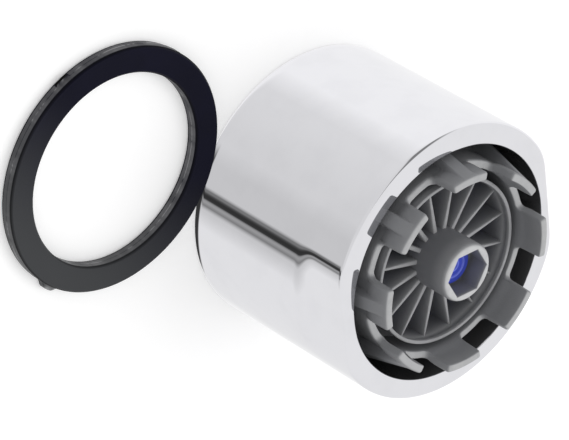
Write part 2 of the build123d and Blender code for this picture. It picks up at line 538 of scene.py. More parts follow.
@dataclass(frozen=True)
class PaintedSideLight:
    """Painted light on rubber: a paler grey that grows along Y, as if more light falls on that side.

    Attributes:
        colour: Colour of the painted light.
        start: Place along Y in millimetres where the painted light starts.
        end: Place along Y in millimetres where it covers the rubber.
    """

    colour: Colour
    start: float
    end: float

    def over(self, sheet: NodeSheet, colour: Colour) -> bpy.types.NodeSocket:
        """Return a colour with the painted light on it.

        Args:
            sheet: The sheet of the material.
            colour: The colour of the rubber without the painted light.

        Returns:
            The socket of the mixed colour.
        """
        place = sheet.add("ShaderNodeTexCoord").outputs["Object"]
        along = sheet.add("ShaderNodeSeparateXYZ", {"Vector": place}).outputs["Y"]
        amount = sheet.ramp(along, self.start * MM, self.end * MM)
        return sheet.blend(amount, rgba(colour), rgba(self.colour))


@dataclass(frozen=True)
class MouldedFinish:
    """Moulded plastic or rubber: slow clouds in its colour, a fine grain, and wear and painted highlight on
    edges.

    Attributes:
        name: Name of the material.
        face: Colour where the clouds are light.
        shade: Colour where the clouds are dark.
        edge: Colour of rubbed edges, also used for painted highlight on edges and painted light on faces
            towards the lamp.
        smooth: Lowest roughness.
        rough: Highest roughness.
        grain_per_mm: Fineness of the grain.
        grain_depth: Depth of the grain in millimetres.
        wear_and_light: Share of the edge colour where wear and painted light are full.
        specular: Strength of the gloss.
        side_light: Painted light over the colours, paler along one side, if there is one.
    """

    name: str
    face: Colour
    shade: Colour
    edge: Colour
    smooth: float
    rough: float
    grain_per_mm: float
    grain_depth: float
    wear_and_light: float = 1.0
    specular: float = 0.4
    side_light: PaintedSideLight | None = None

    def material(self, effects: SharedEffects) -> bpy.types.Material:
        """Build the material.

        Args:
            effects: The shared node groups.

        Returns:
            The material.
        """
        material, sheet, shader = new_material(self.name)
        grain = sheet.add("ShaderNodeGroup", node_tree=effects.grain)
        texture = {"Grain per mm": self.grain_per_mm, "Smooth": self.smooth, "Rough": self.rough}
        for label, value in texture.items():
            sheet.feed(grain.inputs[label], value)
        wear_and_light = sheet.add("ShaderNodeGroup", node_tree=effects.wear_and_light)
        # Painted light: the colours turn paler grey along Y
        face = self.side_light.over(sheet, self.face) if self.side_light else rgba(self.face)
        shade = self.side_light.over(sheet, self.shade) if self.side_light else rgba(self.shade)
        colours = {"Face": face, "Shade": shade, "Edge": rgba(self.edge)}
        for label, value in {**colours, "Clouds": grain.outputs["Clouds"], "Amount": self.wear_and_light}.items():
            sheet.feed(wear_and_light.inputs[label], value)
        depth = {"Height": grain.outputs["Height"], "Distance": self.grain_depth * MM}
        bump = sheet.add("ShaderNodeBump", depth)
        sheet.feed(shader.inputs["Base Color"], wear_and_light.outputs["Colour"])
        sheet.feed(shader.inputs["Roughness"], grain.outputs["Roughness"])
        sheet.feed(shader.inputs["Normal"], bump.outputs["Normal"])
        sheet.feed(shader.inputs["Specular IOR Level"], self.specular)
        return material


@dataclass(frozen=True)
class ChromeFinish:
    """Polished chrome plate outside, darker and rougher in the bore, with faint smears and a few specks.

    Attributes:
        name: Name of the material.
        plate: Colour of the clean plate.
        haze: Colour of the hazy plate.
        bore: Colour in the bore.
        polish: Roughness of the clean plate.
        smear: Roughness of a smear.
        bore_roughness: Roughness in the bore.
        smears_per_mm: Fineness of the smears.
        smear_range: Values of the noise between which smears rise.
        haze_range: Values of the noise between which haze rises.
        specks_per_mm: Fineness of the net that holds the specks.
        speck_size: Size of a speck, as a share of the net.
        speck_core: Share of a speck that is fully dull.
        speck_share: Share of the net's cells that hold a speck.
        speck_dull: Roughness that a speck adds.
    """

    name: str
    plate: Colour
    haze: Colour
    bore: Colour
    polish: float
    smear: float
    bore_roughness: float
    smears_per_mm: float = 0.35
    smear_range: Point = (0.45, 0.75)
    haze_range: Point = (0.4, 0.7)
    specks_per_mm: float = 0.45
    speck_size: float = 0.06
    speck_core: float = 0.3
    speck_share: float = 0.12
    speck_dull: float = 0.15

    def specks(self, sheet: NodeSheet, place: bpy.types.NodeSocket) -> bpy.types.NodeSocket:
        """Return the mask of the small dull specks.

        Args:
            sheet: The sheet of the material.
            place: The place on the piece.

        Returns:
            The socket of the mask, 1 in the middle of a speck.
        """
        cells = sheet.add("ShaderNodeTexVoronoi", {"Vector": place, "Scale": self.specks_per_mm / MM})
        picked = sheet.math("LESS_THAN", cells.outputs["Color"], self.speck_share)
        core = self.speck_core * self.speck_size
        near = sheet.ramp(cells.outputs["Distance"], core, self.speck_size, 1.0, 0.0)
        return sheet.math("MULTIPLY", picked, near)

    def material(self) -> bpy.types.Material:
        """Build the material.

        Returns:
            The material.
        """
        material, sheet, shader = new_material(self.name)
        place = sheet.add("ShaderNodeTexCoord").outputs["Object"]
        pattern = {"Vector": place, "Scale": self.smears_per_mm / MM, "Detail": 4.0}
        noise = sheet.add("ShaderNodeTexNoise", pattern)
        inside = sheet.add("ShaderNodeAttribute", attribute_name=BORE).outputs["Fac"]
        specks = self.specks(sheet, place)
        smeared = sheet.ramp(noise.outputs["Fac"], *self.smear_range, self.polish, self.smear)
        spotted = sheet.math("MULTIPLY_ADD", specks, self.speck_dull, smeared)
        polished = sheet.math("MULTIPLY", spotted, sheet.math("SUBTRACT", 1.0, inside))
        hazed = sheet.ramp(noise.outputs["Fac"], *self.haze_range)
        plated = sheet.blend(hazed, rgba(self.plate), rgba(self.haze))
        sheet.feed(shader.inputs["Base Color"], sheet.blend(inside, plated, rgba(self.bore)))
        roughness = sheet.math("MULTIPLY_ADD", inside, self.bore_roughness, polished)
        sheet.feed(shader.inputs["Roughness"], roughness)
        sheet.feed(shader.inputs["Metallic"], 1.0)
        return material


# The sleeve


@dataclass(frozen=True)
class SleeveAssembly:
    """Chromed sleeve with two polished spanner flats at the outlet and a female thread at the inlet."""

    radius: float
    length: float
    thread_radius: float = 11.0
    thread_length: float = 6.2
    thread_lead_in: float = 0.3
    thread_height: float = 0.54
    thread_pitch: float = 1.0
    thread_root_width: float = 0.86
    thread_crest_width: float = 0.16
    thread_sunk: float = 0.05
    thread_end: float = 0.1
    thread_run_out: float = 0.3
    thread_steps: int = 96
    seat_radius: float = 10.5
    seat_depth: float = 8.6
    bore_radius: float = 10.2
    bore_round: float = 0.08
    inlet_round: Point = (0.95, 0.3)
    rim_round: float = 0.35
    rim_slope: float = 4.0
    flat_depth: float = 0.8
    flat_round: float = 5.0
    flat_length: float = 4.3
    flat_angle: float = 50.0
    shoulder_width: float = 2.2
    inward_least: float = 0.3
    columns: int = 360
    edge_steps: int = 6
    shoulder_steps: int = 34

    @classmethod
    def from_frame(cls) -> SleeveAssembly:
        """Take the outer radius and the length from the frame."""
        low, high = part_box("housing_sleeve")
        return cls(radius=(high[0] - low[0]) / 2 / MM, length=high[2] / MM)

    @property
    def shoulder_start(self) -> float:
        """Return the height at which the shoulder of the flats starts."""
        return self.length - self.flat_length - self.shoulder_width / 2

    def flat_radius(self, angle: float) -> float:
        """Return the outer radius at an angle where the flats have their full depth.

        Args:
            angle: Angle round the axis in radians.

        Returns:
            The radius of the flat, of its rounded corner or of the round body.
        """
        off = abs((angle - radians(self.flat_angle) + pi / 2) % pi - pi / 2)
        plane = self.radius - self.flat_depth
        corner = plane - self.flat_round
        reach = acos(corner / (self.radius - self.flat_round))
        if off >= reach:
            return self.radius
        edge = (self.radius - self.flat_round) * sin(reach)
        if plane * tan(off) <= edge:
            return plane / cos(off)
        along = corner * cos(off) + edge * sin(off)
        return along + sqrt(along**2 - corner**2 - edge**2 + self.flat_round**2)

    def outer_radius(self, angle: float, height: float) -> float:
        """Return the outer radius, which eases into the flats over a soft shoulder."""
        depth = self.radius - self.flat_radius(angle)
        return self.radius - depth * ease((height - self.shoulder_start) / self.shoulder_width)

    def outer_rows(self) -> list[Point]:
        """Return the rows of the outside.

        Returns:
            The height of each row from the inlet end to the rim, and how far the rounded ends draw it in.
        """
        turn = quarter_turn(self.edge_steps)
        tall, deep = self.inlet_round
        inlet = [(tall * (1 - cosine), deep * (1 - sine)) for sine, cosine in turn]
        rim = [
            (self.length - self.rim_round * (1 - sine), self.rim_round * (1 - cosine))
            for sine, cosine in turn
        ]
        climb = self.shoulder_width / self.shoulder_steps
        steps = [self.shoulder_start + climb * step for step in range(self.shoulder_steps + 1)]
        return inlet + [(height, 0.0) for height in (self.thread_length, *steps)] + rim

    def rim_drop(self, angle: float) -> float:
        """Return how much lower the outside of the crowned rim is than its bore, at an angle."""
        return (self.flat_radius(angle) - self.rim_round - self.bore_radius) * tan(radians(self.rim_slope))

    def inner_rows(self, count: int) -> list[Point]:
        """Return the section of the inside as a radius and a height for each row.

        Args:
            count: Number of rows to fill.

        Returns:
            The points from the inlet end to the rim.
        """
        seat = self.length - self.seat_depth
        corners = [
            (self.thread_radius + self.thread_lead_in, 0.0),
            (self.thread_radius, self.thread_lead_in),
            (self.thread_radius, self.thread_length),
            (self.seat_radius, self.thread_length),
            (self.seat_radius, seat),
            (self.bore_radius, seat),
        ]
        rim = [
            (self.bore_radius + self.bore_round * (1 - cosine), self.length - self.bore_round * (1 - sine))
            for sine, cosine in quarter_turn(self.edge_steps)
        ]
        between = count - len(corners) - len(rim)
        climb = (self.length - self.bore_round - seat) / (between + 1)
        bore = [(self.bore_radius, seat + climb * (step + 1)) for step in range(between)]
        return corners + bore + rim

    def body(self) -> bpy.types.Object:
        """Build the sleeve.

        Returns:
            The sleeve, with its bore marked.
        """
        outside = self.outer_rows()
        inside = self.inner_rows(len(outside))
        rim = len(outside) - self.edge_steps - 1

        def place(row: int, layer: int, column: int) -> Spot:
            """Return a point of the sleeve.

            Args:
                row: Row of the grid, from the inlet side up.
                layer: 0 inside, 1 outside.
                column: Step round the axis.

            Returns:
                The point in millimetres.
            """
            angle = tau * column / self.columns
            if layer == 0:
                radius, height = inside[row]
                return polar(radius, angle, height)
            height, inset = outside[row]
            drop = self.rim_drop(angle) if row >= rim else 0.0
            return polar(self.outer_radius(angle, height) - inset, angle, height - drop)

        made = RingSolid(len(outside), 2, self.columns, place).mesh()
        self.mark_bore(made)
        return new_piece(made, "sleeve")

    def mark_bore(self, made: bmesh.types.BMesh) -> None:
        """Mark the ledges inside, and the faces that look towards the axis below the rounding of the rim.

        Args:
            made: The mesh of the sleeve.
        """
        bore = made.loops.layers.float.new(BORE)
        rim = (self.length - self.bore_round) * MM
        over_ledges = (self.length - self.flat_length) * MM
        for face in made.faces:
            middle = face.calc_center_median()
            reach = hypot(middle.x, middle.y)
            outward = (face.normal.x * middle.x + face.normal.y * middle.y) / reach
            inward = outward < -self.inward_least and middle.z < rim
            ledge = reach < self.thread_radius * MM and middle.z < over_ledges
            if inward or ledge:
                for loop in face.loops:
                    loop[bore] = 1.0

    def thread(self) -> bpy.types.Object:
        """Build the ridge of the inlet thread, which fades out at both ends.

        Returns:
            The ridge as a closed helical solid.
        """
        made = bmesh.new()
        bore = made.loops.layers.float.new(BORE)
        root_half = self.thread_root_width / 2
        crest_half = self.thread_crest_width / 2
        start = self.thread_lead_in + root_half
        turns = (self.thread_length - start - root_half) / self.thread_pitch
        steps = int(turns * self.thread_steps)
        buried = self.thread_radius + self.thread_sunk
        rings = []
        for step in range(steps + 1):
            angle = tau * step / self.thread_steps
            middle = start + self.thread_pitch * step / self.thread_steps
            from_end = min(step, steps - step) / self.thread_steps
            fade = min(1.0, self.thread_end + (1.0 - self.thread_end) * from_end / self.thread_run_out)
            crest = self.thread_radius - self.thread_height * fade
            section = ((buried, -root_half), (crest, -crest_half), (crest, crest_half), (buried, root_half))
            spots = [polar(radius, angle, middle + rise) for radius, rise in section]
            rings.append([made.verts.new(Vector(spot) * MM) for spot in spots])
        for ring, following in zip(rings, rings[1:]):
            for side in range(4):
                after = (side + 1) % 4
                made.faces.new((ring[side], ring[after], following[after], following[side]))
        made.faces.new(rings[0])
        made.faces.new(rings[-1])
        bmesh.ops.recalc_face_normals(made, faces=made.faces)
        for face in made.faces:
            for loop in face.loops:
                loop[bore] = 1.0
        return new_piece(made, "inlet_thread_ridge")

    def build(self, chrome: bpy.types.Material) -> None:
        """Build and dress the sleeve and its thread.

        Args:
            chrome: Material of the plate.
        """
        dress(self.body(), chrome, Slot.SLEEVE, "housing_sleeve")
        dress(self.thread(), chrome, Slot.SLEEVE)


# The insert


@dataclass(frozen=True)
class EdgeSpot:
    """Point of the crown's outline in the unrolled wall, with the direction from there into the wall."""

    along: float
    height: float
    inward_along: float
    inward_up: float

    def inset(self, depth: float) -> Point:
        """Return the place along the wall and the height at a depth inside the outline."""
        return self.along + self.inward_along * depth, self.height + self.inward_up * depth

    def mirrored(self) -> EdgeSpot:
        """Return the same point on the other side of the tab."""
        return EdgeSpot(-self.along, self.height, -self.inward_along, self.inward_up)


@dataclass(frozen=True)
class CrownInsert:
    """Grey insert: flange, shell with air windows, and a crown of ribbed tabs with rounded notches."""

    flange_radius: float
    inlet_face: float
    tab_top: float
    seat_height: float = 8.8
    shell_radius: float = 9.1
    chamber_radius: float = 8.4
    window_bottom: float = 11.5
    window_top: float = 13.0
    former_seat: float = 13.8
    shell_taper: float = 0.8
    crown_inner: float = 7.95
    crown_wall: float = 0.7
    crown_top: float = 16.9
    tab_count: int = 8
    tab_angle: float = -3.0
    tab_flare: float = 0.18
    tab_root: float = 0.8
    tab_corner: float = 0.25
    notch_width: float = 3.05
    notch_round: float = 0.5
    notch_draft: float = 0.06
    rib_width: float = 1.15
    rib_radius: float = 10.05
    rib_edge: float = 0.1
    rib_foot: float = 0.14
    rib_end: float = 0.3
    inner_round: float = 0.12
    outer_round: float = 0.23
    wall_painted_light: float = 0.25
    wall_rows: int = 16
    edge_steps: int = 5
    rib_steps: int = 8
    corner_steps: int = 5
    notch_steps: int = 6

    @classmethod
    def from_frame(cls) -> CrownInsert:
        """Take the flange and the heights of both ends from the frame."""
        low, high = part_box("insert_body")
        return cls(flange_radius=(high[0] - low[0]) / 2 / MM, inlet_face=low[2] / MM, tab_top=high[2] / MM)

    @property
    def wall_middle(self) -> float:
        """Return the radius at which the wall is unrolled."""
        return self.crown_inner + self.tab_flare + self.crown_wall / 2

    @property
    def notch_start(self) -> float:
        """Return how far the side of a notch lies from the middle of the tab."""
        return pi * self.wall_middle / self.tab_count - self.notch_width / 2

    @property
    def rib_span(self) -> Point:
        """Return how far the crest of a rib and its foot reach from the middle of the tab."""
        return self.rib_width / 2 - self.rib_edge, self.rib_width / 2 + self.rib_foot

    def half_outline(self) -> list[EdgeSpot]:
        """Return half the outline of a tab.

        Returns:
            The points from the middle of the tab to the middle of the next notch.
        """
        crest, foot = self.rib_span
        side = self.notch_start
        corner = side - self.tab_corner
        along = [0.0, crest / 2]
        along += [crest + (foot - crest) * step / self.rib_steps for step in range(self.rib_steps + 1)]
        along += [foot + (corner - foot) * step / 3 for step in (1, 2)]
        spots = [EdgeSpot(place, self.tab_top, 0.0, -1.0) for place in along]
        shoulder = self.tab_top - self.tab_corner
        for sine, cosine in quarter_turn(self.corner_steps):
            place = corner + self.tab_corner * sine
            spots.append(EdgeSpot(place, shoulder + self.tab_corner * cosine, -sine, -cosine))
        root = self.crown_top + self.notch_round
        for share in (0.25, 0.5, 0.75):
            place = side + self.notch_draft * share
            spots.append(EdgeSpot(place, shoulder + (root - shoulder) * share, -1.0, 0.0))
        floor = side + self.notch_draft + self.notch_round
        for sine, cosine in quarter_turn(self.notch_steps):
            place = floor - self.notch_round * cosine
            spots.append(EdgeSpot(place, root - self.notch_round * sine, -cosine, -sine))
        end = side + self.notch_width / 2
        spots += [EdgeSpot(floor + (end - floor) * share, self.crown_top, 0.0, -1.0) for share in (0.5, 1.0)]
        return spots

    def outline(self) -> list[EdgeSpot]:
        """Return the outline of one tab, from the middle of one notch to just before that of the next."""
        half = self.half_outline()
        return [spot.mirrored() for spot in reversed(half[1:])] + half[:-1]

    def wall(self, layer: int, height: float) -> float:
        """Return the radius of the crown's inner or outer wall, which flares out to the tabs."""
        flare = self.tab_flare * ease((height - self.crown_top) / self.tab_root)
        return self.crown_inner + self.crown_wall * layer + flare

    def rib_rise(self, along: float, height: float, wall: float) -> float:
        """Return how far the rib stands out from the wall.

        Args:
            along: Distance from the middle of the tab.
            height: Height above the inlet end.
            wall: Radius of the wall there.

        Returns:
            The rise, which fades out at the foot of the rib and towards the end of the tab.
        """
        top = self.tab_top - self.rib_end
        share = min(max((height - self.former_seat) / (top - self.former_seat), 0.0), 1.0)
        back = self.rib_radius + (self.wall(1, self.tab_top) - self.rib_radius) * share
        crest, foot = self.rib_span
        return max(back - wall, 0.0) * ease((foot - abs(along)) / (foot - crest))

    def build(self, finish: bpy.types.Material) -> None:
        """Build and dress the insert.

        Args:
            finish: Material of the moulding.
        """
        outline = self.outline()
        half_taper = self.shell_taper / 2
        levels = (self.inlet_face, self.seat_height, self.window_bottom, self.window_top)
        inside = [(self.chamber_radius, level) for level in (*levels, self.former_seat)]
        inside.append((self.crown_inner, self.former_seat))
        outside = [(self.shell_radius, level) for level in (*levels, self.former_seat - half_taper)]
        outside.append((self.crown_inner + self.crown_wall, self.former_seat + half_taper))
        flange_row = levels.index(self.inlet_face)
        window_row = levels.index(self.window_bottom)
        base = len(inside) - 1
        face_end = base + self.wall_rows
        turn = quarter_turn(self.edge_steps)
        notch_side = self.notch_start + self.notch_draft - TOUCH

        def place(row: int, layer: int, column: int) -> Spot:
            """Return a point of the insert.

            Args:
                row: Row of the grid, from the inlet side up.
                layer: 0 inside, 1 outside with its ribs, 2 edge of the flange.
                column: Step round the axis.

            Returns:
                The point in millimetres.
            """
            tab, index = divmod(column, len(outline))
            middle = radians(self.tab_angle) + tau * tab / self.tab_count
            spot = outline[index]
            rounding = self.outer_round if layer else self.inner_round
            bite = 0.0
            along, height = spot.inset(rounding)
            if row <= base:
                radius, height = (outside if layer else inside)[row]
            else:
                if row <= face_end:
                    foot = (outside if layer else inside)[base][1]
                    height = foot + (height - foot) * (row - base) / self.wall_rows
                else:
                    sine, cosine = turn[row - face_end]
                    along, height = spot.inset(rounding * (1 - sine))
                    bite = rounding * (1 - cosine)
                radius = self.wall(layer, height)
            if layer == 1:
                radius += self.rib_rise(along, height, radius)
            if layer == 2:
                radius = self.flange_radius
            return polar(radius + (-bite if layer else bite), middle + along / self.wall_middle, height)

        def filled(row: int, layer: int, column: int) -> bool:
            """Return whether a cell is solid: all but the windows and the space round the shell.

            Args:
                row: Row of the grid, from the inlet side up.
                layer: 0 wall, 1 flange.
                column: Step round the axis.

            Returns:
                True where the cell is filled.
            """
            if row == flange_row:
                return True
            ends = (outline[column % len(outline)], outline[(column + 1) % len(outline)])
            in_notch = all(abs(spot.along) > notch_side for spot in ends)
            return layer == 0 and not (row == window_row and in_notch)

        def wear_and_light(row: int, layer: int, column: int) -> float:
            """Return the painted light on the walls, which grows towards the lit ends of the tabs."""
            share = min(max(row - base, 0) / self.wall_rows, 1.0)
            return self.wall_painted_light * share * share

        columns = len(outline) * self.tab_count
        made = RingSolid(face_end + self.edge_steps + 1, 3, columns, place, filled, wear_and_light).mesh()
        # Faces that look up out of the outlet get painted light
        paint_light_on_ends(made, self.crown_top - self.outer_round)
        dress(new_piece(made, "crown_insert"), finish, Slot.INSERT, "insert_body")


@dataclass(frozen=True)
class JetFormer:
    """Grey moulding inside the crown: foot, beaded ring, thin radial fins and a hub with a key socket."""

    foot_radius: float
    foot_bottom: float
    hub_top: float
    foot_top: float = 13.8
    ring_inner: float = 6.93
    ring_outer: float = 7.23
    ring_top: float = 17.06
    bead_height: float = 0.4
    bead_width: float = 0.07
    bead_highlight: float = 0.25
    fin_count: int = 16
    fin_angle: float = 8.25
    fin_root: float = 0.42
    fin_tip: float = 0.18
    fin_top: float = 16.22
    fin_fade: tuple[float, ...] = (1.3, 0.9, 0.55, 0.25, 0.0)
    fin_side_light: float = 0.5
    fin_end_highlight: float = 0.38
    gap_columns: int = 6
    hub_radius: float = 2.52
    hub_round: float = 0.4
    hub_sunk: float = 0.25
    hub_end_highlight: float = 0.25
    hub_steps: int = 7
    stem_bore: float = 1.6
    key_size: float = 3.6
    key_depth: float = 1.6
    key_angle: float = -17.5
    key_edge: float = 0.05
    key_undercut: float = 0.4
    key_columns: int = 12
    key_floor_half: float = 0.3
    edge_round: float = 0.08
    edge_steps: int = 3

    @classmethod
    def from_frame(cls) -> JetFormer:
        """Take the foot and the heights of both ends from the frame."""
        low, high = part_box("jet_former")
        return cls(foot_radius=(high[0] - low[0]) / 2 / MM, foot_bottom=low[2] / MM, hub_top=high[2] / MM)

    def fins(self) -> bpy.types.Object:
        """Build the foot, the ring and the fins.

        Returns:
            One solid, with the inner ends of the fins where the hub goes.
        """
        pitch = tau / self.fin_count
        per_fin = self.gap_columns + 2
        bead = self.ring_top - self.bead_height
        levels = [self.fin_top - depth for depth in self.fin_fade]
        heights = (self.foot_bottom, self.foot_top, *levels, bead, bead + self.bead_width, self.ring_top)
        root = heights.index(levels[0])
        top = root + len(levels) - 1
        radii = (self.hub_radius - self.hub_sunk, self.ring_inner, self.ring_outer, self.foot_radius)

        def place(row: int, layer: int, column: int) -> Spot:
            """Return a point of the foot, the ring or a fin.

            Args:
                row: Row of the grid, from the inlet side up.
                layer: 0 at the hub, then the ring's inside and outside, and the foot's edge.
                column: Step round the axis.

            Returns:
                The point in millimetres.
            """
            fin, step = divmod(column, per_fin)
            middle = radians(self.fin_angle) + pitch * fin
            radius = radii[layer]
            if step < 2:
                half = (self.fin_tip if layer else self.fin_root) / 2
                angle = middle + asin((half if step else -half) / radius)
            else:
                angle = middle + pitch * (step - 1) / (self.gap_columns + 1)
            if layer == 1 and row < top + 2:
                radius += self.bead_width
            return polar(radius, angle, heights[row])

        def filled(row: int, layer: int, column: int) -> bool:
            """Return whether a cell is solid.

            Args:
                row: Row of the grid, from the inlet side up.
                layer: 0 fins, 1 ring, 2 foot.
                column: Step round the axis.

            Returns:
                True where the cell is filled.
            """
            if layer == 0:
                return column % per_fin == 0 and row < top
            return layer == 1 or row == 0

        def wear_and_light(row: int, layer: int, column: int) -> float:
            """Return the painted highlight on the ring's bead and the painted light on the fins' sides,
            which fades out downwards.

            Args:
                row: Row of the grid, from the inlet side up.
                layer: 0 at the hub, then the ring's inside and outside, and the foot's edge.
                column: Step round the axis.

            Returns:
                The painted light, from 0 to 1.
            """
            if row > top:
                return self.bead_highlight
            share = max(row - root, 0) / (top - root)
            return self.fin_side_light * share * share if layer < 2 else 0.0

        made = RingSolid(len(heights), len(radii), per_fin * self.fin_count, place, filled, wear_and_light).mesh()
        # Rounded edges and faces turned up towards the lamp get painted highlight
        round_edges(made, self.edge_round, self.edge_steps, self.fin_end_highlight)
        paint_light_on_ends(made, self.fin_top - self.edge_round, self.fin_end_highlight)
        return new_piece(made, "finned_former")

    def socket_radius(self, angle: float) -> float:
        """Return the radius of the key socket at an angle."""
        side = (angle - radians(self.key_angle)) % radians(60) - radians(30)
        return self.key_size / 2 / cos(side)

    def hub(self) -> bpy.types.Object:
        """Build the hub.

        Returns:
            The hub as one solid, with its outer end rounded.
        """
        depth = self.key_depth + self.key_undercut
        floor = self.hub_top - depth
        turn = quarter_turn(self.hub_steps)
        levels = (self.foot_bottom, floor - self.key_floor_half, floor + self.key_floor_half)
        end = [
            (self.hub_radius - self.hub_round * (1 - cosine), self.hub_top - self.hub_round * (1 - sine))
            for sine, cosine in turn
        ]
        outside = [(self.hub_radius, level) for level in levels] + end
        bore = (self.foot_bottom, floor)
        climb = (depth - self.key_edge) / self.hub_steps
        walls = [floor, *(floor + climb * (step + 1) for step in range(self.hub_steps)), self.hub_top]
        columns = 6 * self.key_columns

        def place(row: int, layer: int, column: int) -> Spot:
            """Return a point of the hub.

            Args:
                row: Row of the grid, from the inlet side up.
                layer: 0 bore and socket, 1 outside.
                column: Step round the axis.

            Returns:
                The point in millimetres.
            """
            angle = radians(self.key_angle) + tau * column / columns
            if layer == 1:
                radius, height = outside[row]
                return polar(radius, angle, height)
            if row < len(bore):
                return polar(self.stem_bore, angle, bore[row])
            edge = self.key_edge if row == len(outside) - 1 else 0.0
            return polar(self.socket_radius(angle) + edge, angle, walls[row - len(bore)])

        def wear_and_light(row: int, layer: int, column: int) -> float:
            """Return the painted highlight on the hub's rounded end."""
            return self.hub_end_highlight if layer == 1 and row >= len(levels) else 0.0

        made = RingSolid(len(outside), 2, columns, place, wear_and_light=wear_and_light).mesh()
        # Faces that look up out of the outlet get painted light
        paint_light_on_ends(made, self.hub_top - self.hub_round)
        return new_piece(made, "hub")

    def build(self, finish: bpy.types.Material) -> None:
        """Build the jet former as one moulding and dress it.

        Args:
            finish: Material of the moulding.
        """
        former = self.fins()
        unite(former, self.hub())
        dress(former, finish, Slot.FORMER, "jet_former")


@dataclass(frozen=True)
class StemEnd:
    """Blue end of the splitter's stem at the bottom of the key socket, with its moulded rings."""

    top: float
    radius: float = 1.53
    sunk: float = 0.4
    proud: float = 0.02
    recess: float = 0.05
    recess_radius: float = 1.05
    ring_radius: float = 0.5
    ring_height: float = 0.035
    ring_width: float = 0.07
    edge_round: float = 0.12
    layers: int = 48
    columns: int = 72

    @classmethod
    def from_frame(cls) -> StemEnd:
        """Take the height from the frame."""
        return cls(top=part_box("jet_splitter")[1][2] / MM)

    def rings(self, radius: float) -> float:
        """Return how much of a ring's height there is at a radius, 1 on its crest."""
        crests = (self.recess_radius, self.ring_radius)
        return sum(exp(-(((radius - crest) / self.ring_width) ** 2)) for crest in crests)

    def height(self, radius: float) -> float:
        """Return the height of the end: a rim, a shallow recess and two fine rings.

        Args:
            radius: Distance from the axis.

        Returns:
            The height above the inlet end.
        """
        recess = self.recess * ease((self.recess_radius - radius) / self.ring_width)
        edge = self.edge_round * ease((radius - self.radius) / self.edge_round + 1.0)
        return self.top + self.proud - recess + self.ring_height * self.rings(radius) - edge

    def build(self, finish: bpy.types.Material) -> None:
        """Build and dress the end of the stem.

        Args:
            finish: Material of the splitter.
        """

        def place(row: int, layer: int, column: int) -> Spot:
            """Return a point of the stem end, whose underside is buried.

            Args:
                row: 0 underside, 1 end.
                layer: Ring of points, from the axis out.
                column: Step round the axis.

            Returns:
                The point in millimetres.
            """
            radius = self.radius * layer / (self.layers - 1)
            height = self.height(radius) if row else self.top - self.sunk
            return polar(radius, tau * column / self.columns, height)

        def wear_and_light(row: int, layer: int, column: int) -> float:
            """Return the painted highlight on the rings' crests."""
            return row * self.rings(self.radius * layer / (self.layers - 1))

        # The crests of the rings get a painted highlight
        made = RingSolid(2, self.layers, self.columns, place, wear_and_light=wear_and_light).mesh()
        dress(new_piece(made, "stem_end"), finish, Slot.SPLITTER)


# The washer


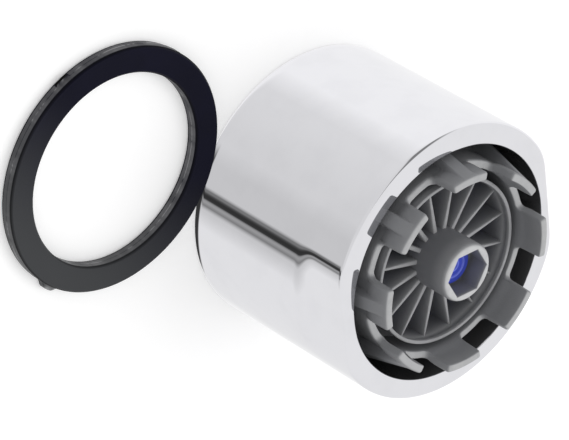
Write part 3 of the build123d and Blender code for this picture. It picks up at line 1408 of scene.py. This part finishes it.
@dataclass(frozen=True)
class SealingWasher:
    """Flat rubber washer with moulding flash on its edges, a torn bit of it and the stub of its gate."""

    centre: Point
    radius: float
    thickness: float
    width: float = 2.2
    edge: float = 0.15
    edge_line: float = 0.12
    edge_shade: float = 0.8
    side_wear: float = 0.42
    side_least: float = 0.5
    seam_break: float = 0.2
    seam_span: float = 0.6
    flash: float = 0.09
    flash_width: float = 0.1
    flash_inside: float = 0.6
    flash_start: float = 0.5
    flash_step: float = 0.3
    flash_least: float = 0.1
    tear_angle: float = -22.0
    tear_reach: float = 0.22
    tear_half_angle: float = 4.0
    gate_angle: float = 94.0
    gate_reach: float = 0.4
    gate_half_width: float = 0.75
    columns: int = 360
    seed: int = 7

    @classmethod
    def from_frame(cls) -> SealingWasher:
        """Take the place and the size from the frame.

        Returns:
            The washer where the frame has it.
        """
        low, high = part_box("sealing_washer")
        centre = ((low[0] + high[0]) / 2 / MM, (low[1] + high[1]) / 2 / MM)
        return cls(centre=centre, radius=(high[0] - low[0]) / 2 / MM, thickness=high[2] / MM)

    def flash_heights(self) -> list[float]:
        """Return how far the flash stands out, from a seeded walk.

        Returns:
            The height of the flash at each column.
        """
        chance = random.Random(self.seed)
        heights = []
        value = self.flash_start
        for _ in range(self.columns):
            value += chance.uniform(-self.flash_step, self.flash_step)
            value = min(max(value, self.flash_least), 1.0)
            heights.append(self.flash * value)
        return heights

    def build(self, finish: bpy.types.Material) -> None:
        """Build and dress the washer.

        Args:
            finish: Material of the rubber.
        """
        flash = self.flash_heights()
        middle = self.thickness / 2
        half = self.flash_width / 2
        below = (0.0, self.edge, self.edge + self.edge_line, middle - half)
        heights = (*below, middle, *(self.thickness - level for level in reversed(below)))
        inner = self.radius - self.width
        seam = len(below)
        ends = (0, len(heights) - 1)
        corners = (1, len(heights) - 2)

        def off(angle: float, middle_angle: float) -> float:
            """Return the angle in degrees from a middle angle, the short way round."""
            return (angle - middle_angle + 180) % 360 - 180

        def torn(angle: float) -> bool:
            """Return whether the flash is torn at an angle."""
            return abs(off(angle, self.tear_angle)) < self.tear_half_angle

        def place(row: int, layer: int, column: int) -> Spot:
            """Return a point of the washer, with its flash, its tear and its gate.

            Args:
                row: Row of the grid, from the floor up.
                layer: 0 inside, 1 outside.
                column: Step round the axis.

            Returns:
                The point in millimetres.
            """
            angle = 360 * column / self.columns
            inset = self.edge if row in ends else 0.0
            proud = flash[column] if row == seam else 0.0
            if layer == 0:
                radius = inner + inset - self.flash_inside * proud
            else:
                tear = self.tear_reach if torn(angle) else 0.0
                gate_off = radians(off(angle, self.gate_angle)) * self.radius
                gate = self.gate_reach * exp(-((gate_off / self.gate_half_width) ** 4))
                stub = gate if 0 < row <= seam else 0.0
                radius = self.radius - inset + max(proud, tear if row == seam else 0.0, stub)
            x, y, height = polar(radius, radians(angle), heights[row])
            return x + self.centre[0], y + self.centre[1], height

        def wear_and_light(row: int, layer: int, column: int) -> float:
            """Return the wear of the broken seam and of the sides, and the painted shade of corners and
            tear.

            Args:
                row: Row of the grid, from the floor up.
                layer: 0 inside, 1 outside.
                column: Step round the axis.

            Returns:
                The wear, up to 1, or the painted shade, down to -1.
            """
            share = flash[column] / self.flash
            if row in ends:
                return 0.0
            # Corners and the torn dent get painted shade
            if row in corners:
                return -self.edge_shade
            if row == seam:
                return ease((share - self.seam_break) / self.seam_span)
            if layer and row < seam and torn(360 * column / self.columns):
                return -1.0
            return self.side_wear * (self.side_least + (1.0 - self.side_least) * share)

        made = RingSolid(len(heights), 2, self.columns, place, wear_and_light=wear_and_light).mesh()
        piece = new_piece(made, "washer_ring")
        dress(piece, finish, Slot.WASHER, "sealing_washer")
        piece.visible_glossy = False


# The studio


@dataclass(frozen=True)
class Card:
    """Upright studio card that polished metal mirrors.

    Attributes:
        start: Compass angle in degrees of one side.
        end: Compass angle in degrees of the other side.
        tone: Brightness of the card.
    """

    start: float
    end: float
    tone: float


@dataclass(frozen=True)
class Studio:
    """White floor, soft overhead light, cards for the metal to mirror, and the camera.

    Attributes:
        horizon: Upward part of a direction between which the ground's light turns into the sky's.
        high_from: Upward part of a direction between which low cards turn into high ones.
        under_below: Upward part of a direction between which the dark underside turns into low cards.
        under_beside: Sideways part of a direction between which that underside starts.
    """

    floor_size: float = 1600.0
    floor_drop: float = 0.01
    floor_colour: Colour = (0.8, 0.8, 0.8)
    floor_glow: float = 0.3
    lamp_place: Spot = (-170.0, -150.0, 420.0)
    lamp_size: float = 350.0
    lamp_level: float = 0.25
    ground_level: float = 0.45
    sky_level: float = 0.84
    under_tone: float = 0.04
    horizon: Point = (-0.1, 0.1)
    high_from: Point = (0.05, 0.3)
    under_below: Point = (-0.76, -0.7)
    under_beside: Point = (0.1, 0.3)
    camera_target: Spot = (10.5, 3.7, 9.2)
    camera_distance: float = 314.5
    camera_azimuth: float = -0.26
    camera_elevation: float = 39.73
    camera_roll: float = 120.7
    camera_lens: float = 253.0
    camera_sensor: float = 36.0
    camera_near: float = 10.0
    low_cards: tuple[Card, ...] = (
        Card(-180.0, -70.0, 0.97),
        Card(-48.0, -40.0, 0.78),
        Card(0.0, 10.0, 0.72),
        Card(25.0, 46.0, 0.63),
        Card(47.0, 50.0, 0.2),
        Card(50.8, 54.8, 0.035),
        Card(56.5, 58.6, 0.36),
        Card(59.7, 60.2, 0.2),
        Card(64.0, 66.0, 0.65),
        Card(80.0, 150.0, 0.85),
        Card(178.0, 180.0, 0.97),
    )
    high_cards: tuple[Card, ...] = (
        Card(-180.0, -95.0, 0.86),
        Card(-76.0, -52.0, 0.22),
        Card(-45.0, 45.0, 0.75),
        Card(60.0, 180.0, 0.86),
    )

    def floor(self) -> None:
        """Lay the floor: white to the camera, with the object's shadow on it."""
        made = bmesh.new()
        bmesh.ops.create_grid(made, x_segments=1, y_segments=1, size=self.floor_size / 2 * MM)
        mesh = bpy.data.meshes.new("studio_floor")
        made.to_mesh(mesh)
        made.free()
        floor = bpy.data.objects.new("studio_floor", mesh)
        floor.location.z = -self.floor_drop * MM
        bpy.context.scene.collection.objects.link(floor)
        material, sheet, shader = new_material("floor_white")
        seen = sheet.add("ShaderNodeLightPath").outputs["Is Camera Ray"]
        sheet.feed(shader.inputs["Base Color"], rgba(self.floor_colour))
        sheet.feed(shader.inputs["Roughness"], 1.0)
        sheet.feed(shader.inputs["Specular IOR Level"], 0.0)
        sheet.feed(shader.inputs["Emission Color"], rgba((1.0, 1.0, 1.0)))
        sheet.feed(shader.inputs["Emission Strength"], sheet.math("MULTIPLY", seen, self.floor_glow))
        mesh.materials.append(material)
        floor.visible_glossy = False
        floor.visible_diffuse = False

    def lamp(self) -> None:
        """Hang the overhead light, aimed at the part."""
        place = Vector(self.lamp_place) * MM
        lamp = bpy.data.lights.new("overhead_softbox", "AREA")
        lamp.shape = "SQUARE"
        lamp.size = self.lamp_size * MM
        lamp.energy = self.lamp_level * (pi * place.length) ** 2
        holder = bpy.data.objects.new("overhead_softbox", lamp)
        holder.location = place
        holder.rotation_mode = "QUATERNION"
        holder.rotation_quaternion = (-place).to_track_quat("-Z", "Y")
        holder.visible_glossy = False
        bpy.context.scene.collection.objects.link(holder)

    @staticmethod
    def tones(sheet: NodeSheet, turn: bpy.types.NodeSocket, cards: Sequence[Card]) -> bpy.types.NodeSocket:
        """Return the tone of a row of cards.

        Args:
            sheet: The sheet of the world.
            turn: The compass direction, from 0 to 1.
            cards: The cards in order, all the way round from -180 to 180 degrees.

        Returns:
            The socket of the tone.
        """
        ramp = sheet.add("ShaderNodeValToRGB", {"Fac": turn})
        stops = ramp.color_ramp.elements
        stops[0].color = rgba((cards[0].tone,) * 3)
        stops[1].color = rgba((cards[-1].tone,) * 3)
        edges = [(angle, card.tone) for card in cards for angle in (card.start, card.end)]
        for angle, tone in edges[1:-1]:
            stop = stops.new((angle + 180.0) / 360.0)
            stop.color = rgba((tone,) * 3)
        return ramp.outputs["Color"]

    def world(self) -> None:
        """Surround the scene: white to the camera, cards to mirrors and soft light to the rest."""
        world = bpy.data.worlds.new("studio")
        world.use_nodes = True
        bpy.context.scene.world = world
        sheet = NodeSheet(world.node_tree)
        background = world.node_tree.nodes["Background"]
        direction = sheet.add("ShaderNodeTexCoord").outputs["Generated"]
        way = sheet.add("ShaderNodeSeparateXYZ", {"Vector": direction})
        compass = sheet.math("ARCTAN2", way.outputs["Y"], way.outputs["X"])
        turn = sheet.math("MULTIPLY_ADD", compass, 1 / tau, 0.5)
        upward = sheet.ramp(way.outputs["Z"], *self.high_from)
        low = self.tones(sheet, turn, self.low_cards)
        high = self.tones(sheet, turn, self.high_cards)
        below = sheet.ramp(way.outputs["Z"], *self.under_below, 1.0, 0.0)
        beside = sheet.ramp(way.outputs["Y"], *self.under_beside)
        underneath = sheet.math("MULTIPLY", below, beside)
        around = sheet.blend(underneath, low, rgba((self.under_tone,) * 3))
        mirrored = sheet.blend(upward, around, high)
        soft = sheet.ramp(way.outputs["Z"], *self.horizon, self.ground_level, self.sky_level)
        path = sheet.add("ShaderNodeLightPath")
        lit = sheet.blend(path.outputs["Is Glossy Ray"], soft, mirrored)
        seen = sheet.blend(path.outputs["Is Camera Ray"], lit, rgba((1.0, 1.0, 1.0)))
        sheet.feed(background.inputs["Color"], seen)

    def camera(self) -> None:
        """Set up the camera, turned about its own axis as the picture is."""
        turn, rise = radians(self.camera_azimuth), radians(self.camera_elevation)
        back = Vector((cos(rise) * cos(turn), cos(rise) * sin(turn), sin(rise)))
        camera = bpy.data.cameras.new("studio_camera")
        camera.lens = self.camera_lens
        camera.sensor_width = self.camera_sensor
        camera.clip_start = self.camera_near * MM
        holder = bpy.data.objects.new("studio_camera", camera)
        holder.location = (Vector(self.camera_target) + back * self.camera_distance) * MM
        level = (-back).to_track_quat("-Z", "Y")
        holder.rotation_mode = "QUATERNION"
        holder.rotation_quaternion = level @ Quaternion((0.0, 0.0, 1.0), radians(self.camera_roll))
        bpy.context.scene.collection.objects.link(holder)
        bpy.context.scene.camera = holder

    def build(self) -> None:
        """Build the studio round the part."""
        self.floor()
        self.lamp()
        self.world()
        self.camera()
        bpy.context.scene.view_settings.view_transform = "Standard"
        log.info("studio: floor, overhead light, cards and camera")


# Finishes of this part

CHROME = ChromeFinish(
    name="sleeve_chrome",
    plate=(0.868, 0.867, 0.898),
    haze=(0.843, 0.842, 0.873),
    bore=(0.36, 0.355, 0.35),
    polish=0.008,
    smear=0.03,
    bore_roughness=0.25,
)
# Edge colours are paler for wear, and also painted highlight on edges and painted light on faces towards the
# lamp
INSERT_GREY = MouldedFinish(
    name="insert_grey",
    face=(0.222, 0.226, 0.24),
    shade=(0.195, 0.199, 0.212),
    edge=(0.42, 0.423, 0.428),
    smooth=0.38,
    rough=0.55,
    grain_per_mm=7.0,
    grain_depth=0.014,
)
FORMER_GREY = MouldedFinish(
    name="former_grey",
    face=(0.198, 0.201, 0.213),
    shade=(0.175, 0.178, 0.189),
    edge=(0.55, 0.553, 0.557),
    smooth=0.42,
    rough=0.58,
    grain_per_mm=7.0,
    grain_depth=0.014,
)
SPLITTER_BLUE = MouldedFinish(
    name="splitter_blue",
    face=(0.062, 0.094, 0.62),
    shade=(0.052, 0.08, 0.54),
    edge=(0.21, 0.26, 0.9),
    smooth=0.3,
    rough=0.45,
    grain_per_mm=6.0,
    grain_depth=0.004,
)
REGULATOR_WHITE = MouldedFinish(
    name="regulator_white",
    face=(0.75, 0.75, 0.73),
    shade=(0.68, 0.68, 0.66),
    edge=(0.85, 0.85, 0.84),
    smooth=0.35,
    rough=0.5,
    grain_per_mm=6.0,
    grain_depth=0.004,
)
STRAINER_GREY = MouldedFinish(
    name="strainer_grey",
    face=(0.36, 0.365, 0.375),
    shade=(0.31, 0.315, 0.325),
    edge=(0.5, 0.5, 0.51),
    smooth=0.38,
    rough=0.55,
    grain_per_mm=7.0,
    grain_depth=0.005,
)
WASHER_RUBBER = MouldedFinish(
    name="washer_rubber",
    face=(0.007, 0.007, 0.018),
    shade=(0.005, 0.005, 0.013),
    edge=(0.38, 0.38, 0.388),
    smooth=0.42,
    rough=0.62,
    grain_per_mm=9.0,
    grain_depth=0.012,
    specular=0.07,
    # The paler grey along Y here is painted light, as if more light falls on that side of the washer
    side_light=PaintedSideLight(colour=(0.055, 0.057, 0.06), start=3.0, end=17.0),
)
O_RING_RUBBER = MouldedFinish(
    name="o_ring_rubber",
    face=(0.035, 0.035, 0.036),
    shade=(0.025, 0.025, 0.026),
    edge=(0.1, 0.1, 0.1),
    smooth=0.4,
    rough=0.6,
    grain_per_mm=9.0,
    grain_depth=0.006,
)


def dress_inner_nodes(frame: dict[str, dict[str, bpy.types.Object]], effects: SharedEffects) -> None:
    """Give the nodes that keep their own shape their finishes.

    Args:
        frame: The loaded frame.
        effects: The shared node groups.
    """
    kept = {
        "jet_splitter": SPLITTER_BLUE,
        "flow_regulator": REGULATOR_WHITE,
        "regulator_o_ring": O_RING_RUBBER,
        "inlet_strainer": STRAINER_GREY,
    }
    for name, finish in kept.items():
        node = frame["nodes"][name]
        for slot in node.material_slots:
            slot.material = finish.material(effects)
        log.info("%s: keeps its shape, %s", name, finish.name)


def main() -> None:
    """Load the frame, dress every piece and set up the studio."""
    logging.basicConfig(level=logging.INFO, format="%(name)s: %(message)s")
    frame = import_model()
    effects = SharedEffects()
    SleeveAssembly.from_frame().build(CHROME.material())
    CrownInsert.from_frame().build(INSERT_GREY.material(effects))
    JetFormer.from_frame().build(FORMER_GREY.material(effects))
    StemEnd.from_frame().build(SPLITTER_BLUE.material(effects))
    SealingWasher.from_frame().build(WASHER_RUBBER.material(effects))
    dress_inner_nodes(frame, effects)
    Studio().build()


if __name__ == "__main__":
    main()
